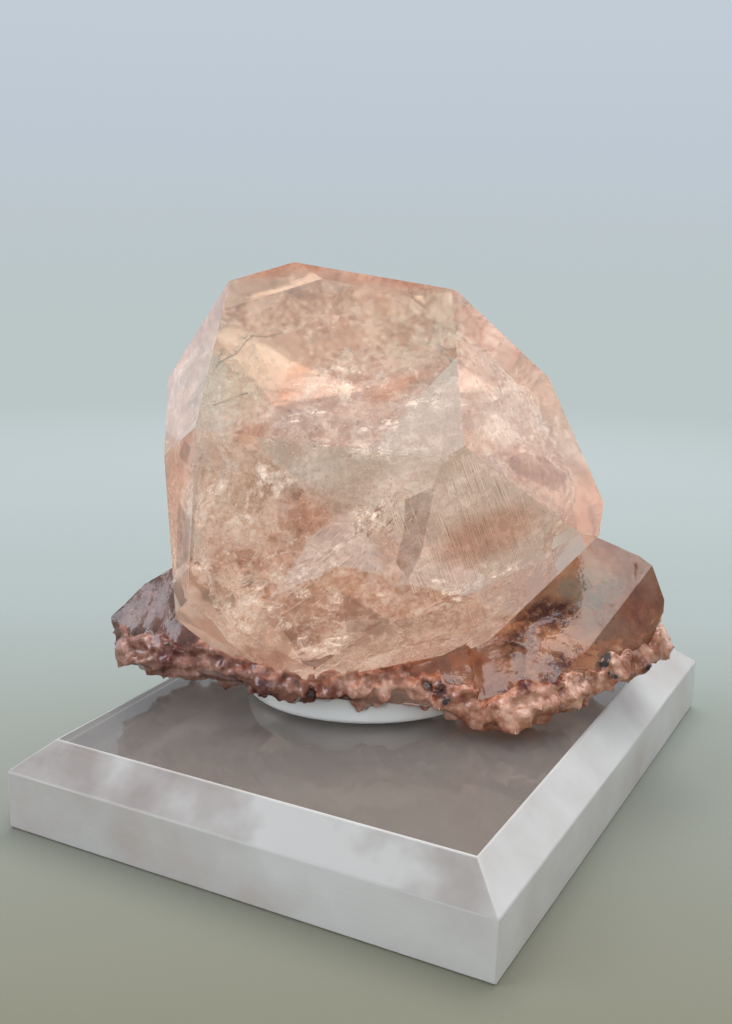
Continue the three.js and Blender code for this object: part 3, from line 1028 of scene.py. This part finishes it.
def makeBrownCalcite(name, transmission, orangeShades, mauveShades):
    # Iron-stained calcite: glassy, orange brown to the right and mauve brown to the left, in patches.
    spec = brownCalcite
    material, tree = newMaterial(name)
    position = addNode(tree, "NewGeometry")
    patches = addNode(tree, "TexNoise", inputs={
        "Vector": position, "Scale": 1 / (spec["patchSpan"] * mm), "Detail": 4.0, "Roughness": 0.65,
        "Distortion": 0.6,
    })
    grain = addNode(tree, "TexNoise", inputs={
        "Vector": position, "Scale": 1 / (spec["grainSpan"] * mm), "Detail": 2.0, "Roughness": 0.7,
    })
    total = addNode(tree, "Math", {"operation": "MULTIPLY_ADD"}, {0: grain, 1: 0.35, 2: patches})
    right = specimenTurn @ Vector((1, 0, 0))
    side = addNode(tree, "VectorMath", {"operation": "DOT_PRODUCT"}, {0: position, 1: right}, out="Value")
    toRight = addNode(tree, "MapRange", inputs={
        "Value": side, "From Min": spec["mauveTo"] * mm, "From Max": spec["orangeFrom"] * mm,
    })
    mauve, orange = (
        addNode(tree, "ValToRGB", inputs={"Fac": total}, stops=list(zip(spec["shades"], shades)))
        for shades in (mauveShades, orangeShades)
    )
    colour = addNode(tree, "Mix", {"data_type": "RGBA"}, {0: toRight, 6: mauve, 7: orange}, out=2)
    patchy = addNode(tree, "MapRange", inputs={
        "Value": grain, "From Min": 0.38, "From Max": 0.62, "To Min": 1.7, "To Max": 0.35,
    })
    for stain, shade in spec["stains"].items():
        share = addNode(tree, "Attribute", {"attribute_name": stain}, out="Fac")
        amount = addNode(tree, "Math", {"operation": "MULTIPLY", "use_clamp": True}, {0: share, 1: patchy})
        colour = addNode(tree, "Mix", {"data_type": "RGBA"}, {0: amount, 6: colour, 7: shade}, out=2)
    # The last stain is the oxide, which is earthy where the calcite is glassy.
    earthy = addNode(tree, "MapRange", inputs={
        "Value": amount, "From Min": 0.1, "From Max": 0.6, "To Min": 0.1, "To Max": 0.7,
    })
    bump = addNode(tree, "Bump", inputs={"Height": grain, "Strength": 0.3, "Distance": 0.2 * mm})
    shader = addNode(tree, "BsdfPrincipled", inputs={
        "Base Color": colour, "Roughness": earthy, "IOR": calciteIor, "Transmission Weight": transmission,
        "Normal": bump,
    })
    output = addNode(tree, "OutputMaterial", inputs={"Surface": shader})
    if transmission > 0.5:
        absorb = addNode(tree, "VolumeAbsorption", inputs={"Color": "#d8935f", "Density": 18.0})
        tree.links.new(absorb, output.inputs["Volume"])
    return material


def makeLowerCrystals(material):
    spec = lowerCrystals
    cutter = toMesh(cutCrystal(planes, spec["gap"]), "cutter", Matrix())
    joined = combine(hullMesh("right"), hullMesh("mass"), "UNION")
    joined = combine(joined, hullMesh("left"), "UNION")
    joined = combine(joined, cutter, "DIFFERENCE")
    bm = bmesh.new()
    bm.from_mesh(joined)
    gridCut(bm, spec["grid"])
    bm.normal_update()
    moves = []
    for vert in bm.verts:
        fromSeam = nearestFaces(vert.co)[0][0] + spec["gap"]
        foot = 1 - spec["calm"] * fadeTo(vert.co.z, spec["calmFrom"], spec["calmTo"])
        lump = noise.fractal(vert.co / spec["lumpSpan"], *spec["lumpNoise"]) * spec["lump"]
        moves.append(vert.normal * lump * foot * fadeTo(-fromSeam, *spec["seamFade"]))
    markSharp(bm, spec["sharp"])
    for vert, move in zip(bm.verts, moves):
        vert.co += move
    stainVertices(bm)
    newPiece("lower_crystals", toMesh(bm, "lower_crystals"), [material], "calcite_crystals")


makeLowerCrystals(makeBrownCalcite(
    "iron stained calcite", transmission=0.84,
    orangeShades=("#b5683c", "#d8935f", "#ecba8e"), mauveShades=("#8a5643", "#bb8870", "#dab29c"),
))
print("lower crystals grown")

# The toothed rim of small crystals round the foot: rows of rhombs along a path, grown into one crust.
rim = {
    "seed": 2605,
    "heart": (-2, 0, 0),
    "pathSteps": 20,
    "spread": (0.1, 0.9),
    "lean": 0.5,
    "wander": 0.8,
    "shear": 0.35,
    "widths": (0.8, 1.1),
    "stretches": (0.75, 1.15),
    "lowest": 0.5,
    "voxel": 0.42,
    "wear": 0.5,
    "wearRounds": 5,
    "sharp": 35,
    "rows": [
        {"count": 66, "lift": -0.2, "inward": 1.2, "slope": -0.5, "sizes": (2.0, 3.4)},
        {"count": 46, "lift": 2.2, "inward": 2.2, "slope": 0.3, "sizes": (1.6, 2.9)},
        {"count": 36, "lift": -1.0, "inward": 4.2, "slope": -1.6, "sizes": (1.8, 2.8)},
        {"count": 330, "lift": 0.2, "inward": 0.4, "slope": -0.3, "sizes": (0.8, 1.9)},
        {"count": 260, "lift": 2.4, "inward": 1.3, "slope": 0.2, "sizes": (0.6, 1.5)},
        {"count": 240, "lift": -1.4, "inward": 2.4, "slope": -1.0, "sizes": (0.8, 1.9)},
        {"count": 160, "lift": 0.6, "inward": 2.6, "slope": 0.6, "sizes": (1.4, 2.4)},
    ],
    "path": [
        (43, -4, 9.6), (39.5, -7.5, 8.6), (35, -11.5, 7.4), (30.5, -14, 6.2), (25, -17.5, 5.2),
        (20.5, -20, 4.6), (15.5, -21.2, 3.6), (11, -20, 4), (6.5, -18.5, 5.2), (1, -17, 6.4),
        (-6.5, -18.5, 6), (-12, -18, 7), (-17.8, -18.5, 6.4), (-23, -16, 7.6), (-29, -14, 8),
        (-34.5, -13, 8.4), (-40, -11, 8.2), (-43.4, -7.5, 9), (-42.5, 1, 8.6), (-39, 9, 7.8),
        (-29, 14, 7.4), (-17, 18, 7.6), (-4, 20, 7.6), (9, 19, 7.2), (21, 17, 6.8),
        (31, 14.5, 7.4), (38, 9.5, 8.6), (42, 2, 9.4),
    ],
}


# A function that gives the point at a share of the way round a smooth closed curve.
def closedPath(points, steps):
    fine = []
    count = len(points)
    for i in range(count):
        before, start, end, after = (Vector(points[(i + k) % count]) for k in (-1, 0, 1, 2))
        for step in range(steps):
            t = step / steps
            fine.append(0.5 * (
                2 * start + (end - before) * t + (2 * before - 5 * start + 4 * end - after) * t * t
                + (3 * start - before - 3 * end + after) * t ** 3
            ))
    fine.append(fine[0])
    lengths = [0.0]
    for here, there in zip(fine, fine[1:]):
        lengths.append(lengths[-1] + (there - here).length)

    def at(share):
        target = share * lengths[-1]
        i = next(k for k in range(len(lengths) - 1) if lengths[k + 1] >= target)
        return fine[i].lerp(fine[i + 1], (target - lengths[i]) / (lengths[i + 1] - lengths[i]))

    return at


# A rhomb standing on its corner: a cube sheared along two directions.
def addRhomb(bm, chance, place, outward, size):
    width = size * chance.between(*rim["widths"])
    corner, up = Vector((1, 1, 1)).normalized(), Vector((0, 0, 1))
    spin = chance.between(0, math.pi * 2)
    stretch = chance.between(*rim["stretches"])
    shear = Matrix(((1, 0, rim["shear"], 0), (rim["shear"], 1, 0, 0), (0, 0, 1, 0), (0, 0, 0, 1)))
    bmesh.ops.create_cube(bm, size=1, matrix=(
        Matrix.Translation(place)
        @ up.rotation_difference(outward).to_matrix().to_4x4()
        @ Matrix.Diagonal((1, 1, stretch, 1))
        @ Matrix.Rotation(spin, 4, "Z")
        @ corner.rotation_difference(up).to_matrix().to_4x4()
        @ shear
        @ Matrix.Diagonal((size, width, size, 1))
    ))


def makeRim(material):
    chance = Lcg(rim["seed"])
    path = closedPath(rim["path"], rim["pathSteps"])
    bm = bmesh.new()
    for row in rim["rows"]:
        for i in range(row["count"]):
            spot = path((i + chance.between(*rim["spread"])) / row["count"])
            outward = spot - Vector(rim["heart"])
            outward.z = 0
            outward.normalize()
            spot = spot - outward * row["inward"]
            spot.z += row["lift"]
            spot = spot + chance.scatter(rim["wander"])
            outward.z += row["slope"]
            outward = (outward + chance.scatter(rim["lean"])).normalized()
            addRhomb(bm, chance, spot, outward, chance.between(*row["sizes"]))
    for vert in bm.verts:
        vert.co.z = max(vert.co.z, rim["lowest"])
    # The small crystals have grown into one crust, so they are joined and their corners worn a little.
    crust = newObject("crust", toMesh(bm, "crust", Matrix()))
    join = crust.modifiers.new("join", "REMESH")
    join.mode = "VOXEL"
    join.voxel_size = rim["voxel"]
    wear = crust.modifiers.new("wear", "SMOOTH")
    wear.factor = rim["wear"]
    wear.iterations = rim["wearRounds"]
    bm = bmesh.new()
    bm.from_mesh(applied(crust))
    stainVertices(bm)
    markSharp(bm, rim["sharp"])
    newPiece("rim_crystals", toMesh(bm, "rim_crystals"), [material], "calcite_crystals")


makeRim(makeBrownCalcite(
    "toothed calcite crust", transmission=0.1,
    orangeShades=("#66301f", "#a4674c", "#d6a68b"), mauveShades=("#4a2721", "#875747", "#c09280"),
))
print("rim grown")

# The block: cast acrylic, polished on top and below, sawn on its sides and bevels. Millimetres.
acrylicBlock = {
    "bevelInset": 5.0,
    "bevelDrop": 4.2,
    "edgeRound": 0.25,
    "roundUnder": 60,  # square mm: smaller faces belong to the rounded edges
    "mottleSpan": 18.2,
    "sawPitch": 0.4,
    "sawStretch": 16.7,
    "milk": [(0.36, "#d9cdc6"), (0.5, "#e6e2dd"), (0.64, "#f5f3ee")],
    # The darker milk of the front bevel: painted shade.
    "shadedBevelMilk": [(0.4, "#8f8178"), (0.5, "#b3aaa2"), (0.6, "#dedbd5")],
}
acrylicIor = 1.49


def makePolishedAcrylic():
    # Cast and polished: clear with a faint warm tint, and a mirror at a low angle.
    material, tree = newMaterial("polished cast acrylic")
    shader = addNode(tree, "BsdfPrincipled", inputs={
        "Base Color": "#e6dcd4", "Roughness": 0.03, "IOR": acrylicIor, "Transmission Weight": 0.86,
    })
    addNode(tree, "OutputMaterial", inputs={"Surface": shader})
    return material


def makeSawnAcrylic():
    # Sawn and only half polished: milky in patches, with fine saw lines along the sides.
    spec = acrylicBlock
    material, tree = newMaterial("sawn cast acrylic")
    position = addNode(tree, "NewGeometry")
    mottle = addNode(tree, "TexNoise", inputs={
        "Vector": position, "Scale": 1 / (spec["mottleSpan"] * mm), "Detail": 4.0,
    })
    rough = addNode(tree, "MapRange", inputs={"Value": mottle, "To Min": 0.2, "To Max": 0.45})
    clear = addNode(tree, "MapRange", inputs={"Value": mottle, "To Min": 0.35, "To Max": 0.6})
    # The front bevel is painted darker than the other three: a painted shade.
    normal = addNode(tree, "NewGeometry", out="Normal")
    front = Vector((0, -spec["bevelDrop"], spec["bevelInset"])).normalized()
    facing = addNode(tree, "VectorMath", {"operation": "DOT_PRODUCT"}, {0: normal, 1: front}, out="Value")
    shadedFront = addNode(tree, "MapRange", inputs={
        "Value": facing, "From Min": 0.9, "From Max": 1.0, "To Max": 0.8,
    })
    milk = addNode(tree, "ValToRGB", inputs={"Fac": mottle}, stops=spec["milk"])
    shadedMilk = addNode(tree, "ValToRGB", inputs={"Fac": mottle}, stops=spec["shadedBevelMilk"])
    tint = addNode(tree, "Mix", {"data_type": "RGBA"}, {0: shadedFront, 6: milk, 7: shadedMilk}, out=2)
    along, across = 1 / (spec["sawStretch"] * mm), 1 / (spec["sawPitch"] * mm)
    stretched = addNode(tree, "Mapping", inputs={"Vector": position, "Scale": (along, along, across)})
    lines = addNode(tree, "TexNoise", inputs={"Vector": stretched, "Scale": 1.0, "Detail": 2.0})
    bump = addNode(tree, "Bump", inputs={"Height": lines, "Strength": 0.3, "Distance": 0.1 * mm})
    shader = addNode(tree, "BsdfPrincipled", inputs={
        "Base Color": tint, "Roughness": rough, "IOR": acrylicIor, "Transmission Weight": clear,
        "Normal": bump,
    })
    addNode(tree, "OutputMaterial", inputs={"Surface": shader})
    return material


def makeBlock():
    spec = acrylicBlock
    halfX, halfY, height = (side / mm for side in blockHigh)
    bm = bmesh.new()
    rings = []
    for z, inset in ((0, 0), (height - spec["bevelDrop"], 0), (height, spec["bevelInset"])):
        rings.append([
            bm.verts.new((sx * (halfX - inset), sy * (halfY - inset), z))
            for sx, sy in ((-1, -1), (1, -1), (1, 1), (-1, 1))
        ])
    bm.faces.new(rings[0][::-1])
    bm.faces.new(rings[2])
    for lower, upper in zip(rings, rings[1:]):
        for k in range(4):
            face = bm.faces.new((lower[k], lower[(k + 1) % 4], upper[(k + 1) % 4], upper[k]))
            face.material_index = 1
    bmesh.ops.bevel(
        bm, geom=bm.edges[:], offset=spec["edgeRound"], segments=3, profile=0.5, affect="EDGES", material=1,
    )
    bmesh.ops.recalc_face_normals(bm, faces=bm.faces[:])
    for face in bm.faces:
        face.smooth = face.calc_area() < spec["roundUnder"]
    mesh = toMesh(bm, "acrylic_block", Matrix.Scale(mm, 4))
    newPiece("acrylic_block", mesh, [makePolishedAcrylic(), makeSawnAcrylic()], "display_block")


makeBlock()
print("block polished")

# Mineral putty: a white soft pad, pressed out of shape by the specimen. Millimetres.
puttyPad = {
    "voxel": 0.5,
    "smooth": 0.5,
    "smoothRounds": 4,
    "dent": 0.25,
    "dentSpan": 4.0,
    "mottleSpan": 4.17,
    "whites": [(0.35, "#efeeeb"), (0.65, "#fcfbf8")],
}


def makeWhitePutty():
    # Soft filled rubber, pressed by hand: white, a little translucent, with a wet gloss.
    material, tree = newMaterial("white mineral putty")
    mottle = addNode(tree, "TexNoise", inputs={
        "Vector": addNode(tree, "NewGeometry"), "Scale": 1 / (puttyPad["mottleSpan"] * mm), "Detail": 4.0,
    })
    colour = addNode(tree, "ValToRGB", inputs={"Fac": mottle}, stops=puttyPad["whites"])
    bump = addNode(tree, "Bump", inputs={"Height": mottle, "Strength": 0.3, "Distance": 0.4 * mm})
    shader = addNode(tree, "BsdfPrincipled", inputs={
        "Base Color": colour, "Roughness": 0.25, "Subsurface Weight": 0.3, "Subsurface Scale": 2 * mm,
        "Coat Weight": 0.4, "Coat Roughness": 0.08, "Normal": bump,
    })
    addNode(tree, "OutputMaterial", inputs={"Surface": shader})
    return material


def makePutty():
    soft = newObject("soft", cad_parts["mounting_putty"].data.copy())
    remesh = soft.modifiers.new("remesh", "REMESH")
    remesh.mode = "VOXEL"
    remesh.voxel_size = puttyPad["voxel"] * mm
    smooth = soft.modifiers.new("smooth", "SMOOTH")
    smooth.factor = puttyPad["smooth"]
    smooth.iterations = puttyPad["smoothRounds"]
    mesh = applied(soft)
    for vert in mesh.vertices:
        if vert.co.z > blockHigh.z + mm:
            push = noise.noise(vert.co / (puttyPad["dentSpan"] * mm)) * puttyPad["dent"] * mm
            vert.co += vert.normal * min(0.0, push)
    mesh.shade_smooth()
    newPiece("putty_pad", mesh, [makeWhitePutty()], "mounting_putty")


makePutty()
print("putty pressed")
